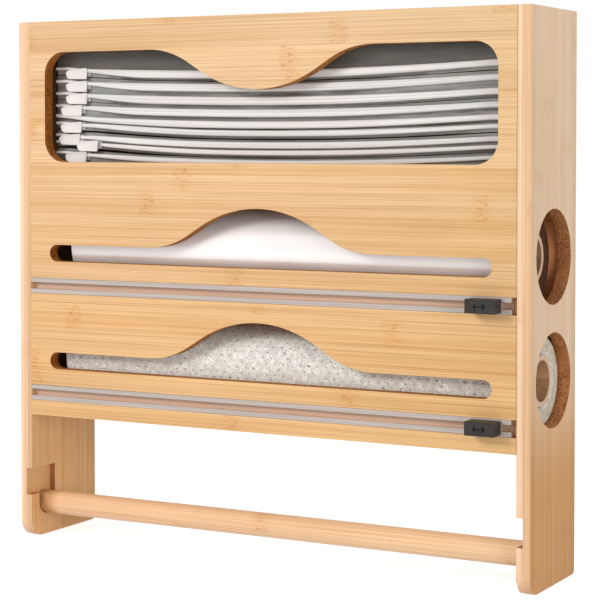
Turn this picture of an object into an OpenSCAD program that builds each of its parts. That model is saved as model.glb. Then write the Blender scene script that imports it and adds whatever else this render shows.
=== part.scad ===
// Wall-mounted bamboo holder for zip bags, a roll of film, a roll of wipes and a towel roll.
// Millimetres: X runs to the right, Y towards the wall, Z up. The origin lies on the back
// plane, midway between the entry holes of the two hanger plates.

/* [Rolls] */
// Diameter of a full roll of film or wipes
roll_d = 54; // [48:0.5:57]
// Length of the roll of wipes
roll_l = 321; // [280:1:340]
// Outer diameter of a roll's cardboard core
core_d = 31; // [26:0.5:36]
// Wall of a roll's cardboard core
core_wall = 3.2; // [1.5:0.1:5]
// Space between a roll and the front panel
roll_front_gap = 1; // [0.8:0.1:4]
// Space between a roll and the back panel
roll_rear_gap = 3.5; // [1:0.1:8]
// Space between the roll of wipes and the left side panel
roll_left_gap = 21; // [5:0.5:40]
// Space between the roll of wipes and the right side panel
roll_right_gap = 1; // [0.6:0.1:6]
// Space between the film's core and the left side panel
film_left_gap = 25; // [5:0.1:40]
// Space between the film's core and the right side panel
film_right_gap = 4.1; // [0.6:0.1:8]
// Bare core at each end of the film
film_margin = 0.6; // [0.5:0.1:10]
// Space between a roll and the board it lies on
roll_seat_gap = 0.3; // [0.2:0.05:0.6]
// Radial play of a roll's winding on its core
core_fit = 0.08; // [0.02:0.01:0.1]

/* [Boards] */
// Thickness of the front, the sides and the shelves
board_t = 8.5; // [7:0.1:12]
// Thickness of the back panel
back_t = 6; // [5.5:0.1:9]
// Height of the legs under the front panel
leg_h = 82; // [65:1:120]
// How far the front panel reaches below the bottom board
front_lip = 2.85; // [1:0.05:10]
// Radius of the front corner of a leg
leg_front_r = 12; // [4:0.5:12]
// Radius of the rear corner of a leg
leg_rear_r = 3; // [1:0.5:10]

/* [Bag window] */
// Depth of the window's upper edge below the top
bag_window_drop = 20; // [15:0.5:30]
// Height of the window
bag_window_h = 71.5; // [65:0.5:85]
// Front panel left at each side of the window
bag_window_margin = 20.5; // [15:0.5:40]
// Corner radius of the window
bag_window_r = 14.5; // [6:0.5:20]
// Depth of the bag shelf below the window's lower edge
shelf_below_window = 3.5; // [2:0.1:8]

/* [Roll slots] */
// Height of a slot
slot_h = 11; // [9:0.5:13]
// Front panel left at each end of a slot
slot_margin = 24; // [18:0.5:40]
// Depth of the upper slot's middle below the bag shelf
slot_below_shelf = 56; // [52:0.5:65]
// Space between a full roll in the upper row and one in the lower row
row_gap = 16.5; // [14:0.5:26]
// Height of the wave above a straight edge
wave_rise = 26; // [20:0.5:28]
// Radius of the wave's crest
wave_crest_r = 76; // [60:1:90]
// Radius of the wave's feet
wave_foot_r = 55; // [40:1:60]
// Steepest slope of the wave, in degrees
wave_slope = 32; // [29:0.5:36]

/* [Side ports] */
// Radial room for a roll in its port
port_clear = 1.25; // [0.8:0.05:2.5]
// Height of the film port's middle above its slot's middle
film_port_lift = 5.4; // [0:0.1:8]
// Height of the wipe port's middle above its slot's middle
wipe_port_lift = 3.1; // [0:0.1:8]

/* [Cutter tracks] */
// Height of a track
track_h = 10; // [8.5:0.1:11]
// Depth of a track
track_d = 5; // [4.4:0.1:5.6]
// Thickness of a track's upper and lower wall
track_wall = 1; // [0.8:0.05:1.3]
// Thickness of a track's floor
track_floor_t = 0.8; // [0.6:0.05:1.1]
// Thickness of a track's front lips
track_lip_t = 1.2; // [0.9:0.05:1.5]
// Width of the gap between a track's lips
track_gap = 4.2; // [3.6:0.1:4.8]
// Bare groove at the right end of a track
track_short = 3.5; // [1:0.1:8]
// Depth of a track's middle below its slot's middle
track_below_slot = 21.6; // [18:0.1:24]
// Room for glue above and below a track
track_fit = 0.1; // [0.05:0.01:0.2]

/* [Cutters] */
// Length of a cutter's cap
cutter_l = 18.5; // [17:0.5:24]
// Height of a cutter's cap
cutter_h = 8.2; // [7.5:0.1:10]
// How far a cutter's cap stands out
cutter_out = 11.5; // [9:0.5:15]
// Chamfer around the front of a cap
cutter_chamfer = 0.7; // [0.2:0.1:1.2]
// Space between a cap and its track
cutter_gap = 0.3; // [0.2:0.05:0.6]
// Space between a cap and the right side panel at rest
cutter_rest = 9.5; // [5:0.5:40]
// Length of a cutter's foot in its track
runner_l = 16; // [14:0.5:20]
// Play of a cutter's foot in its track
runner_fit = 0.2; // [0.1:0.05:0.3]
// Length of the neck that joins the foot and the cap
neck_l = 10; // [9:0.5:11]
// How far the neck and the blade reach into the cap
tongue_l = 5; // [3:0.5:7]
// Width of a blade inside the cap
blade_l = 15; // [13:0.5:16]
// Width of a blade inside the foot
blade_root_l = 8; // [6:0.5:9]
// Thickness of a blade
blade_t = 0.5; // [0.3:0.05:0.8]
// How far a blade reaches into the foot
blade_seat = 1.5; // [1:0.1:2]
// Fit of the cap and the foot around the neck and the blade
cutter_fit = 0.05; // [0.02:0.01:0.1]
// Length of the arrow on a cap
arrow_l = 8; // [5:0.5:12]
// Height of the arrow on a cap
arrow_h = 3.6; // [2.5:0.1:5]
// Width of the arrow's lines
arrow_line = 0.7; // [0.4:0.05:1]
// How far the arrow stands out
arrow_out = 0.3; // [0.1:0.05:0.5]

/* [Towel rod] */
// Diameter of the rod
rod_d = 15.3; // [12:0.1:18]
// Room for the rod at each side of its pocket
rod_slot_clear = 1; // [0.5:0.1:2]
// Depth of the pockets in the legs
rod_slot_depth = 4; // [3:0.1:5]
// Space between the rod's end and the bottom of its pocket
rod_end_gap = 0.5; // [0.3:0.1:1]
// Space under the rod in its pocket
rod_seat_gap = 0.3; // [0.2:0.05:0.5]
// Wood in front of a pocket
rod_lip = 8.6; // [6:0.1:14]
// Wood under a pocket
rod_floor = 13.65; // [8:0.05:18]
// Height of the lip that keeps the rod in its pocket
rod_lip_h = 14.75; // [12:0.05:18]
// Chamfer at the rod's ends
rod_chamfer = 0.8; // [0.3:0.1:2]

/* [Bags] */
// Height of the zip along a bag's front
bead_h = 4.2; // [3.6:0.1:5]
// Space between the front panel and the zips
bead_front_gap = 3; // [2.6:0.1:8]
// Length of thin film between the zip and the folded bag
web_l = 6; // [4:0.5:10]
// Thickness of the film between the zip and the folded bag
web_t = 0.9; // [0.6:0.1:1.4]
// Depth of the folded bag
fold_d = 34; // [20:1:40]
// Space between the loose fold of the bag on top and the top panel
top_fold_gap = 4.4; // [1:0.1:8]
// Space between two folded bags
fold_gap = 0.3; // [0.2:0.05:0.6]
// Space between a bag's left end and the side panel
bag_left_gap = 11.5; // [5:0.5:30]
// Space between a bag's right end and the side panel
bag_right_gap = 2; // [1:0.5:30]
// Height of the lowest zip above the shelf
bead_base = 3.5; // [3.2:0.1:6]
// Length of a zip's slider
slider_l = 16; // [12:0.5:20]
// Wall of a zip's slider
slider_wall = 0.65; // [0.5:0.05:0.7]
// Play of a slider on its zip
slider_fit = 0.25; // [0.15:0.05:0.3]

/* [Fixings] */
// Distance from the middle of a hanger plate to the case's side
hanger_inset = 60; // [40:1:120]
// Depth of the hangers' entry holes below the top
hanger_drop = 45; // [38:0.5:55]
// Width of a hanger plate
plate_w = 18; // [16:0.5:24]
// Height of a hanger plate
plate_h = 46; // [42:0.5:60]
// Thickness of a hanger plate
plate_t = 1.5; // [1.2:0.1:2]
// Fit of a hanger plate in its recess
plate_fit = 0.1; // [0.05:0.01:0.2]
// Diameter of a keyhole's entry
key_entry_d = 10; // [8:0.1:11]
// Width of a keyhole's slot
key_slot_w = 4.6; // [3.5:0.1:5.5]
// Length of a keyhole's slot above the middle of its entry
key_slot_l = 9; // [7:0.5:12]
// Room for a screw head around the keyhole
key_room = 2; // [1:0.1:3]
// Wood left behind the room for a screw head
key_floor = 1.5; // [1:0.1:2]
// Distance from a plate screw to the plate's end
plate_screw_edge = 5; // [4.5:0.1:6]
// Shank diameter of a plate screw
plate_screw_d = 2.8; // [2:0.1:3]
// Head diameter of a plate screw
plate_screw_head_d = 5.4; // [4:0.1:5.4]
// Length of a plate screw
plate_screw_l = 5.4; // [4:0.1:5.4]
// Shank diameter of a back panel screw
back_screw_d = 3; // [2.5:0.1:4]
// Head diameter of a back panel screw
back_screw_head_d = 6; // [5:0.1:8]
// Length of a back panel screw
back_screw_l = 18; // [14:0.5:24]
// Distance from the side panel to the nearest back panel screw
back_screw_inset = 30; // [15:1:60]
// Diameter of a dowel
dowel_d = 5; // [4:0.1:6]
// Length of a dowel
dowel_l = 18; // [14:0.5:24]
// Depth of a dowel in the side panel
dowel_in_side = 5; // [4:0.1:6]
// Distance from a board's front and rear edge to its dowels
dowel_inset = 12; // [8:0.5:20]
// Radial fit of the dowels and screws in their holes
hole_fit = 0.05; // [0.02:0.01:0.1]

/* [Hidden] */
$fn = 96;
over = 1;
bamboo = "#e3b577";
bamboo_dark = "#c8945a";

// Rows of the case, from the top
FILM = 0;
WIPE = 1;

// Free heights between the zips, from the top of the pile down
bead_gaps = [4.1, 4.4, 3.7, 3.4, 1.3, 2.8, 1.2, 2];
bag_count = len(bead_gaps) + 1;
// Distance from a bag's left end to its slider, from the top of the pile down
slider_starts = [8.4, 8.4, 8.4, 4.3, undef, 4, 2.7, 19.2, 7.8];

// Widths
inner_w = roll_left_gap + roll_l + roll_right_gap;
right_x = inner_w / 2;
left_x = -right_x;
bag_window_w = inner_w + 2 * board_t - 2 * bag_window_margin;
slot_w = inner_w + 2 * board_t - 2 * slot_margin;
film_core_l = inner_w - film_left_gap - film_right_gap;
film_l = film_core_l - 2 * film_margin;
bag_x = left_x + bag_left_gap;
bag_w = inner_w - bag_left_gap - bag_right_gap;

// Depths
case_d = board_t + roll_front_gap + roll_d + roll_rear_gap + back_t;
front_y = -case_d;
panel_y = front_y + board_t;
back_y = -back_t;
shelf_d = back_y - panel_y;
roll_y = panel_y + roll_front_gap + roll_d / 2;
bead_y = panel_y + bead_front_gap + bead_h / 2;
fold_y = bead_y + bead_h / 2 + web_l;
rod_y = front_y + rod_lip + rod_d / 2 + rod_slot_clear;

// Heights, as depths below the top of the case
port_d = roll_d + 2 * port_clear;
row_pitch = roll_d + row_gap;
shelf_drop = bag_window_drop + bag_window_h + shelf_below_window;
function slot_drop(row) = shelf_drop + slot_below_shelf + row * row_pitch;
function port_drop(row) = slot_drop(row) - (row == FILM ? film_port_lift : wipe_port_lift);
function floor_drop(row) = port_drop(row) + port_d / 2;
function track_drop(row) = slot_drop(row) + track_below_slot;
board_drops = [0, shelf_drop, floor_drop(FILM), floor_drop(WIPE)];
front_h = floor_drop(WIPE) + board_t + front_lip;
case_h = front_h + leg_h;

// Heights in the frame of the part
top_z = hanger_drop;
bottom_z = top_z - case_h;
shelf_z = top_z - shelf_drop;
function roll_z(row) = top_z - floor_drop(row) + roll_seat_gap + roll_d / 2;
function track_z(row) = top_z - track_drop(row);
pocket_w = rod_d + 2 * rod_slot_clear;
pocket_z = bottom_z + rod_floor;
rod_z = pocket_z + rod_seat_gap + rod_d / 2;

// Heights of the zips and of the folded bags behind them, counted from the top of the pile
function gap_sum(i) = i > bag_count - 1 ? 0 : bead_gaps[i - 1] + gap_sum(i + 1);
function bead_z(i) = shelf_z + bead_base + bead_h / 2 + (bag_count - i) * bead_h + gap_sum(i);
function between_z(i) = (bead_z(i) + bead_z(i + 1)) / 2;
function fold_low(i) = i == bag_count ? shelf_z : between_z(i) + fold_gap / 2;
function fold_high(i) = i == 1 ? top_z - board_t - top_fold_gap : between_z(i - 1) - fold_gap / 2;

// Cutter
cutter_x = right_x - cutter_rest - cutter_l / 2;
cap_y = front_y - cutter_gap;
foot_y = front_y + track_lip_t + runner_fit;
foot_d = track_d - track_lip_t - track_floor_t - 2 * runner_fit;
foot_h = track_h - 2 * track_wall - 2 * runner_fit;
neck_h = track_gap - 2 * runner_fit;

// Tangent points of the wave, seen from its middle
crest_x = wave_crest_r * sin(wave_slope);
crest_h = wave_rise - wave_crest_r * (1 - cos(wave_slope));
foot_rise = wave_foot_r * (1 - cos(wave_slope));
foot_x = crest_x + (crest_h - foot_rise) / tan(wave_slope);
wave_half = foot_x + wave_foot_r * sin(wave_slope);

// Fixings
hanger_spacing = inner_w + 2 * board_t - 2 * hanger_inset;
plate_z = (key_slot_l - key_entry_d / 2) / 2;
dowel_ys = [panel_y + dowel_inset, back_y - dowel_inset];
back_screw_xs = [left_x + back_screw_inset, 0, right_x - back_screw_inset];

BOARD_NODES = ["top_panel", "bag_shelf", "roll_divider", "bottom_panel"];
DOWEL_NODES = [for (name = BOARD_NODES) str(name, "_dowels")];
BAG_NODES = [for (i = [1:bag_count]) str("zip_bag_", i)];
SLIDER_NODES = [for (i = [1:bag_count]) str("zip_slider_", i)];

// Turns an outline of X and Z into a board that reaches from y towards the front
module upright(y, t) {
    translate([0, y, 0]) rotate([90, 0, 0]) linear_extrude(t) children();
}

// Turns an outline of Y and Z into a bar that reaches from x to the right
module crosswise(x, l) {
    translate([x, 0, 0]) rotate([90, 0, 90]) linear_extrude(l) children();
}

// A rod along X
module x_rod(x, y, z, r, l) {
    translate([x, y, z]) rotate([0, 90, 0]) cylinder(r = r, h = l);
}

// What a round corner of radius r takes off a square one
module corner_waste(r) {
    difference() {
        translate([-over, -over]) square(r + over);
        translate([r, r]) circle(r);
    }
}

// The wave over a straight edge, which lies along the X axis
module wave_outline() {
    difference() {
        polygon([
            [-wave_half, -over], [wave_half, -over], [wave_half, 0], [foot_x, foot_rise],
            [crest_x, crest_h], [-crest_x, crest_h], [-foot_x, foot_rise], [-wave_half, 0]
        ]);
        for (side = [-1, 1]) translate([side * wave_half, wave_foot_r]) circle(wave_foot_r);
    }
    intersection() {
        translate([0, wave_rise - wave_crest_r]) circle(wave_crest_r);
        translate([-crest_x, crest_h - over / 2]) square([2 * crest_x, wave_rise]);
    }
}

// Window over the bags: round corners, and the wave hangs down from its upper edge
module bag_window_outline() {
    upper_z = top_z - bag_window_drop;
    difference() {
        translate([-bag_window_w / 2, upper_z - bag_window_h]) square([bag_window_w, bag_window_h]);
        for (side = [0, 1], level = [0, 1])
            mirror([side, 0])
                translate([-bag_window_w / 2, upper_z - (1 - level) * bag_window_h])
                    mirror([0, level]) corner_waste(bag_window_r);
        translate([0, upper_z]) mirror([0, 1]) wave_outline();
    }
}

// Slot with round ends, and the wave over its upper edge
module roll_slot_outline(row) {
    slot_z = top_z - slot_drop(row);
    straight = slot_w - slot_h;
    translate([-straight / 2, slot_z - slot_h / 2]) square([straight, slot_h]);
    for (side = [-1, 1]) translate([side * straight / 2, slot_z]) circle(d = slot_h);
    translate([0, slot_z + slot_h / 2]) wave_outline();
}

module front_panel() {
    groove_h = track_h + 2 * track_fit;
    color(bamboo) difference() {
        upright(panel_y, board_t) difference() {
            translate([left_x, top_z - front_h]) square([inner_w, front_h]);
            bag_window_outline();
            for (row = [FILM, WIPE]) roll_slot_outline(row);
        }
        for (row = [FILM, WIPE])
            translate([left_x - over, front_y - over, track_z(row) - groove_h / 2])
                cube([inner_w + 2 * over, track_d + over, groove_h]);
    }
}

// Side panel seen from its side, with the round corners of the leg
module side_outline() {
    difference() {
        translate([front_y, bottom_z]) square([case_d, case_h]);
        translate([front_y, bottom_z]) corner_waste(leg_front_r);
        translate([0, bottom_z]) mirror([1, 0]) corner_waste(leg_rear_r);
    }
}

// Pocket for the end of the rod, open to the front above its lip
module rod_pocket_outline() {
    notch_z = pocket_z + rod_lip_h;
    translate([rod_y, pocket_z + pocket_w / 2]) circle(d = pocket_w);
    translate([rod_y - pocket_w / 2, pocket_z + pocket_w / 2])
        square([pocket_w, rod_lip_h + pocket_w / 2]);
    translate([front_y - over, notch_z]) square([rod_y - front_y + over, pocket_w]);
}

// Dowels at the right end of a board, which the left end mirrors
module right_dowels(drop, r) {
    for (y = dowel_ys)
        x_rod(right_x + dowel_in_side - dowel_l, y, top_z - drop - board_t / 2, r, dowel_l);
}

module right_side_blank() {
    difference() {
        crosswise(right_x, board_t) side_outline();
        crosswise(right_x - over, rod_slot_depth + over) rod_pocket_outline();
        for (drop = board_drops) right_dowels(drop, dowel_d / 2 + hole_fit);
    }
}

module left_side_panel() {
    color(bamboo) mirror([1, 0, 0]) right_side_blank();
}

module right_side_panel() {
    color(bamboo) difference() {
        right_side_blank();
        for (row = [FILM, WIPE])
            x_rod(right_x - over, roll_y, top_z - port_drop(row), port_d / 2, board_t + 2 * over);
    }
}

// Shelf between the side panels, with holes for its dowels and for the screws of the back panel
module board(drop) {
    color(bamboo) difference() {
        translate([left_x, panel_y, top_z - drop - board_t]) cube([inner_w, shelf_d, board_t]);
        for (side = [0, 1]) mirror([side, 0, 0]) right_dowels(drop, dowel_d / 2 + hole_fit);
        back_screw_shanks(drop, hole_fit);
    }
}

module board_dowels(drop) {
    color(bamboo_dark)
        for (side = [0, 1]) mirror([side, 0, 0]) right_dowels(drop, dowel_d / 2);
}

// Countersunk screw that is driven from y = 0 towards the front
module screw(d, head_d, l) {
    head_l = (head_d - d) / 2;
    recess = head_d / 8;
    rotate([90, 0, 0]) difference() {
        union() {
            cylinder(d1 = head_d, d2 = d, h = head_l);
            cylinder(d = d, h = l);
        }
        for (turn = [0, 90])
            rotate([0, 0, turn])
                translate([-head_d / 3, -recess / 2, -over])
                    cube([2 * head_d / 3, recess, over + head_l / 2]);
    }
}

module screw_hole(d, head_d, l) {
    head_l = (head_d - d) / 2;
    rotate([90, 0, 0]) {
        cylinder(d1 = head_d, d2 = d, h = head_l);
        translate([0, 0, -over]) cylinder(d = d + 2 * hole_fit, h = l + over + hole_fit);
    }
}

module at_back_screws(drop) {
    for (x = back_screw_xs) translate([x, 0, top_z - drop - board_t / 2]) children();
}

module back_screw_shanks(drop, fit) {
    at_back_screws(drop)
        rotate([90, 0, 0]) cylinder(d = back_screw_d + 2 * fit, h = back_screw_l + fit);
}

module back_panel_screws() {
    color("silver") for (drop = board_drops)
        at_back_screws(drop) screw(back_screw_d, back_screw_head_d, back_screw_l);
}

module at_hangers() {
    for (side = [-1, 1]) translate([side * hanger_spacing / 2, 0, 0]) children();
}

module at_plate_screws() {
    reach = plate_h / 2 - plate_screw_edge;
    for (side = [-1, 1]) translate([0, 0, plate_z + side * reach]) children();
}

// Keyhole seen from behind: round entry, and a narrow slot that goes up from it
module keyhole_outline(room) {
    circle(d = key_entry_d + 2 * room);
    translate([-key_slot_w / 2 - room, 0]) square([key_slot_w + 2 * room, key_slot_l]);
    translate([0, key_slot_l]) circle(d = key_slot_w + 2 * room);
}

module hanger_plate(side) {
    color("silver") translate([side * hanger_spacing / 2, 0, 0]) difference() {
        translate([-plate_w / 2, -plate_t, plate_z - plate_h / 2]) cube([plate_w, plate_t, plate_h]);
        upright(over, plate_t + 2 * over) keyhole_outline(0);
        at_plate_screws() screw_hole(plate_screw_d, plate_screw_head_d, plate_screw_l);
    }
}

module hanger_plate_screws() {
    color("silver") at_hangers() at_plate_screws()
        screw(plate_screw_d, plate_screw_head_d, plate_screw_l);
}

module back_panel() {
    recess_w = plate_w + 2 * plate_fit;
    recess_h = plate_h + 2 * plate_fit;
    color(bamboo_dark) difference() {
        translate([left_x, back_y, top_z - front_h]) cube([inner_w, back_t, front_h]);
        for (drop = board_drops)
            at_back_screws(drop) screw_hole(back_screw_d, back_screw_head_d, back_screw_l);
        at_hangers() {
            translate([-recess_w / 2, -plate_t, plate_z - recess_h / 2])
                cube([recess_w, plate_t + over, recess_h]);
            upright(over, back_t - key_floor + over) keyhole_outline(key_room);
            at_plate_screws() screw_hole(plate_screw_d, plate_screw_head_d, plate_screw_l);
        }
    }
}

// Channel whose lips keep the foot of the cutter in
module cutter_track(row) {
    cavity_h = track_h - 2 * track_wall;
    color("gainsboro") crosswise(left_x, inner_w - track_short)
        translate([front_y, track_z(row)]) difference() {
            translate([0, -track_h / 2]) square([track_d, track_h]);
            translate([track_lip_t, -cavity_h / 2]) square([track_d - track_lip_t - track_floor_t, cavity_h]);
            translate([-over, -track_gap / 2]) square([track_lip_t + 2 * over, track_gap]);
        }
}

// Arrow with a head at each end
module arrow_outline() {
    square([arrow_l - 2 * arrow_line, arrow_line], center = true);
    for (side = [0, 1]) mirror([side, 0])
        polygon([
            [arrow_l / 2, 0], [arrow_l / 2 - arrow_h / 2, arrow_h / 2],
            [arrow_l / 2 - arrow_h / 2 - arrow_line, arrow_h / 2], [arrow_l / 2 - 1.5 * arrow_line, 0],
            [arrow_l / 2 - arrow_h / 2 - arrow_line, -arrow_h / 2], [arrow_l / 2 - arrow_h / 2, -arrow_h / 2]
        ]);
}

// Section of a cap, of width w and with chamfered corners at its front
module cap_section(w) {
    polygon([
        [-w / 2, 0], [-w / 2, -cutter_out + cutter_chamfer], [-w / 2 + cutter_chamfer, -cutter_out],
        [w / 2 - cutter_chamfer, -cutter_out], [w / 2, -cutter_out + cutter_chamfer], [w / 2, 0]
    ]);
}

module cutter_cap(row) {
    pocket_l = neck_l + 2 * cutter_fit;
    pocket_h = neck_h + 2 * cutter_fit;
    slit_l = blade_l + 2 * cutter_fit;
    slit_h = blade_t + 2 * cutter_fit;
    pocket_d = tongue_l + cutter_fit;
    color("#2b2b2d") translate([cutter_x, cap_y, track_z(row)]) difference() {
        union() {
            intersection() {
                translate([0, 0, -cutter_h / 2]) linear_extrude(cutter_h) cap_section(cutter_l);
                crosswise(-cutter_l / 2, cutter_l) mirror([1, -1]) cap_section(cutter_h);
            }
            upright(-cutter_out, arrow_out) arrow_outline();
        }
        translate([-pocket_l / 2, -pocket_d, -pocket_h / 2]) cube([pocket_l, pocket_d + over, pocket_h]);
        translate([-slit_l / 2, -pocket_d, -slit_h / 2]) cube([slit_l, pocket_d + over, slit_h]);
    }
}

// Foot in the track, with a split neck that reaches into the cap and holds the blade
module cutter_runner(row) {
    slit_h = blade_t + 2 * cutter_fit;
    neck_y = cap_y - tongue_l;
    color("#3a3a3c") translate([cutter_x, 0, track_z(row)]) difference() {
        union() {
            translate([-runner_l / 2, foot_y, -foot_h / 2]) cube([runner_l, foot_d, foot_h]);
            translate([-neck_l / 2, neck_y, -neck_h / 2])
                cube([neck_l, foot_y - neck_y + foot_d / 2, neck_h]);
        }
        translate([-runner_l, neck_y - over, -slit_h / 2])
            cube([2 * runner_l, foot_y + blade_seat + cutter_fit - neck_y + over, slit_h]);
    }
}

// Blade with two slanting edges, one for each direction of the cut
module cutter_blade(row) {
    color("lightsteelblue") translate([cutter_x, 0, track_z(row) - blade_t / 2]) linear_extrude(blade_t)
        polygon([
            [-blade_l / 2, cap_y - cutter_gap], [-blade_l / 2, cap_y - tongue_l],
            [blade_l / 2, cap_y - tongue_l], [blade_l / 2, cap_y - cutter_gap],
            [blade_root_l / 2, foot_y + blade_seat], [-blade_root_l / 2, foot_y + blade_seat]
        ]);
}

module towel_rod() {
    rod_l = inner_w + 2 * (rod_slot_depth - rod_end_gap);
    r = rod_d / 2;
    color(bamboo) translate([-rod_l / 2, rod_y, rod_z]) rotate([0, 90, 0]) {
        cylinder(r1 = r - rod_chamfer, r2 = r, h = rod_chamfer);
        translate([0, 0, rod_chamfer]) cylinder(r = r, h = rod_l - 2 * rod_chamfer);
        translate([0, 0, rod_l - rod_chamfer]) cylinder(r1 = r, r2 = r - rod_chamfer, h = rod_chamfer);
    }
}

// Tube along X in the row's roll compartment
module roll_tube(row, x, outer_d, inner_d, l) {
    difference() {
        x_rod(x, roll_y, roll_z(row), outer_d / 2, l);
        x_rod(x - over, roll_y, roll_z(row), inner_d / 2, l + 2 * over);
    }
}

module film_roll() {
    color("whitesmoke")
        roll_tube(FILM, left_x + film_left_gap + film_margin, roll_d, core_d + 2 * core_fit, film_l);
}

module film_core() {
    color("tan") roll_tube(FILM, left_x + film_left_gap, core_d, core_d - 2 * core_wall, film_core_l);
}

module wipe_roll() {
    color("white") roll_tube(WIPE, left_x + roll_left_gap, roll_d, core_d + 2 * core_fit, roll_l);
}

module wipe_core() {
    color("tan") roll_tube(WIPE, left_x + roll_left_gap, core_d, core_d - 2 * core_wall, roll_l);
}

// Folded bag: round zip at the front, thin film behind it, and the folds of the bag
module zip_bag(i) {
    color("white") crosswise(bag_x, bag_w) {
        translate([bead_y, bead_z(i)]) circle(d = bead_h);
        translate([bead_y, bead_z(i) - web_t / 2]) square([fold_y + over - bead_y, web_t]);
        translate([fold_y, fold_low(i)]) square([fold_d, fold_high(i) - fold_low(i)]);
    }
}

// Slider that clips around the zip, open at the back for the bag's film
module zip_slider(i) {
    bore_r = bead_h / 2 + slider_fit;
    outer_r = bore_r + slider_wall;
    mouth = web_t + 2 * slider_fit;
    start = is_undef(slider_starts[i - 1]) ? bag_w - slider_l : slider_starts[i - 1];
    color("snow") crosswise(bag_x + start, slider_l)
        translate([bead_y, bead_z(i)]) difference() {
            union() {
                circle(outer_r);
                translate([-outer_r, -outer_r]) square([outer_r, 2 * outer_r]);
            }
            circle(bore_r);
            translate([0, -mouth / 2]) square([outer_r + over, mouth]);
        }
}

front_panel();
left_side_panel();
right_side_panel();
back_panel();
for (i = [0:len(BOARD_NODES) - 1]) {
    board(board_drops[i]);
    board_dowels(board_drops[i]);
}
back_panel_screws();
hanger_plate(-1);  // left_hanger_plate
hanger_plate(1);  // right_hanger_plate
hanger_plate_screws();
cutter_track(FILM);  // upper_cutter_track
cutter_cap(FILM);  // upper_cutter_cap
cutter_runner(FILM);  // upper_cutter_runner
cutter_blade(FILM);  // upper_cutter_blade
cutter_track(WIPE);  // lower_cutter_track
cutter_cap(WIPE);  // lower_cutter_cap
cutter_runner(WIPE);  // lower_cutter_runner
cutter_blade(WIPE);  // lower_cutter_blade
towel_rod();
film_roll();
film_core();
wipe_roll();
wipe_core();
for (i = [1:bag_count]) {
    zip_bag(i);
    zip_slider(i);
}
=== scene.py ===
import math
from collections import namedtuple

import bmesh
import bpy
from mathutils import Matrix, Vector, noise


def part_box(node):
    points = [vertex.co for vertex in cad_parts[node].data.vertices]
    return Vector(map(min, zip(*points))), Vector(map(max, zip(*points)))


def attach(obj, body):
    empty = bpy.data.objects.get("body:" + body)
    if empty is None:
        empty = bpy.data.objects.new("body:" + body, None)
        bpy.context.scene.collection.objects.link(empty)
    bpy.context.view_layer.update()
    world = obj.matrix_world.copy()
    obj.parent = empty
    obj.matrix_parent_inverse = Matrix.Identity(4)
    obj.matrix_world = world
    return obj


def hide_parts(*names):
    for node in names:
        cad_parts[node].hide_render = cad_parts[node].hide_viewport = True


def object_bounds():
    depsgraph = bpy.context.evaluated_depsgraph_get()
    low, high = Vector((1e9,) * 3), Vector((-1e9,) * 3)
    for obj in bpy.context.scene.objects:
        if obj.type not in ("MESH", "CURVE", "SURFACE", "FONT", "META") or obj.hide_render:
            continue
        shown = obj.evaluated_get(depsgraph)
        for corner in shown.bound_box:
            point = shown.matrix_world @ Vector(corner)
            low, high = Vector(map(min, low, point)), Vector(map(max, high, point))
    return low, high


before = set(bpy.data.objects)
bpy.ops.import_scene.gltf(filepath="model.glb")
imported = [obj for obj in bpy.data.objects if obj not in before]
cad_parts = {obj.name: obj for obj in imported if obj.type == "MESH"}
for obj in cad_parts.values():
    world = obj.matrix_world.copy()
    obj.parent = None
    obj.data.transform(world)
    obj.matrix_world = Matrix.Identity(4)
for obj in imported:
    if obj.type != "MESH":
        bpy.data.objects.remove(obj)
CAD_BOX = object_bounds()

bl_info = {
    "name": "Kitchen Roll Holder",
    "version": (1, 0, 0),
    "blender": (4, 5, 0),
    "location": "View3D > Sidebar > Roll Holder",
    "description": "Dresses the bamboo roll holder, its rolls, bags and cutters, and lights it",
    "category": "Object",
}

MM = 0.001
FULL_TURN = 2 * math.pi
ROWS = ("upper", "lower")
BAG_COUNT = 9
AXES = {"X": 0, "Y": 1, "Z": 2}
WHITE = (1.0, 1.0, 1.0)


# Settings

def length(name, description, default):
    return bpy.props.FloatProperty(
        name=name, description=description, default=default, min=0.0, precision=5,
        subtype="DISTANCE", unit="LENGTH")


def colour(name, description, default):
    return bpy.props.FloatVectorProperty(
        name=name, description=description, default=default, size=3, min=0.0, max=1.0,
        subtype="COLOR")


class RollHolderSizes(bpy.types.PropertyGroup):
    board_edge: length("Board edge", "Rounding of the front panel and the inner boards", 0.7 * MM)
    side_edge: length("Side edge", "Rounding of the side panels", 2.0 * MM)
    strip_width: length("Strip width", "Width of one bamboo strip in a board", 15 * MM)
    node_spacing: length("Node spacing", "Distance between the node marks on a strip", 230 * MM)
    cap_edge: length("Cap edge", "Rounding of the cutter caps", 0.35 * MM)
    film_lap: length("Film lap", "Thickness of the loose last lap of film", 0.15 * MM)
    pit_depth: length("Pit depth", "Depth of the pits embossed in the wipes", 0.45 * MM)


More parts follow.
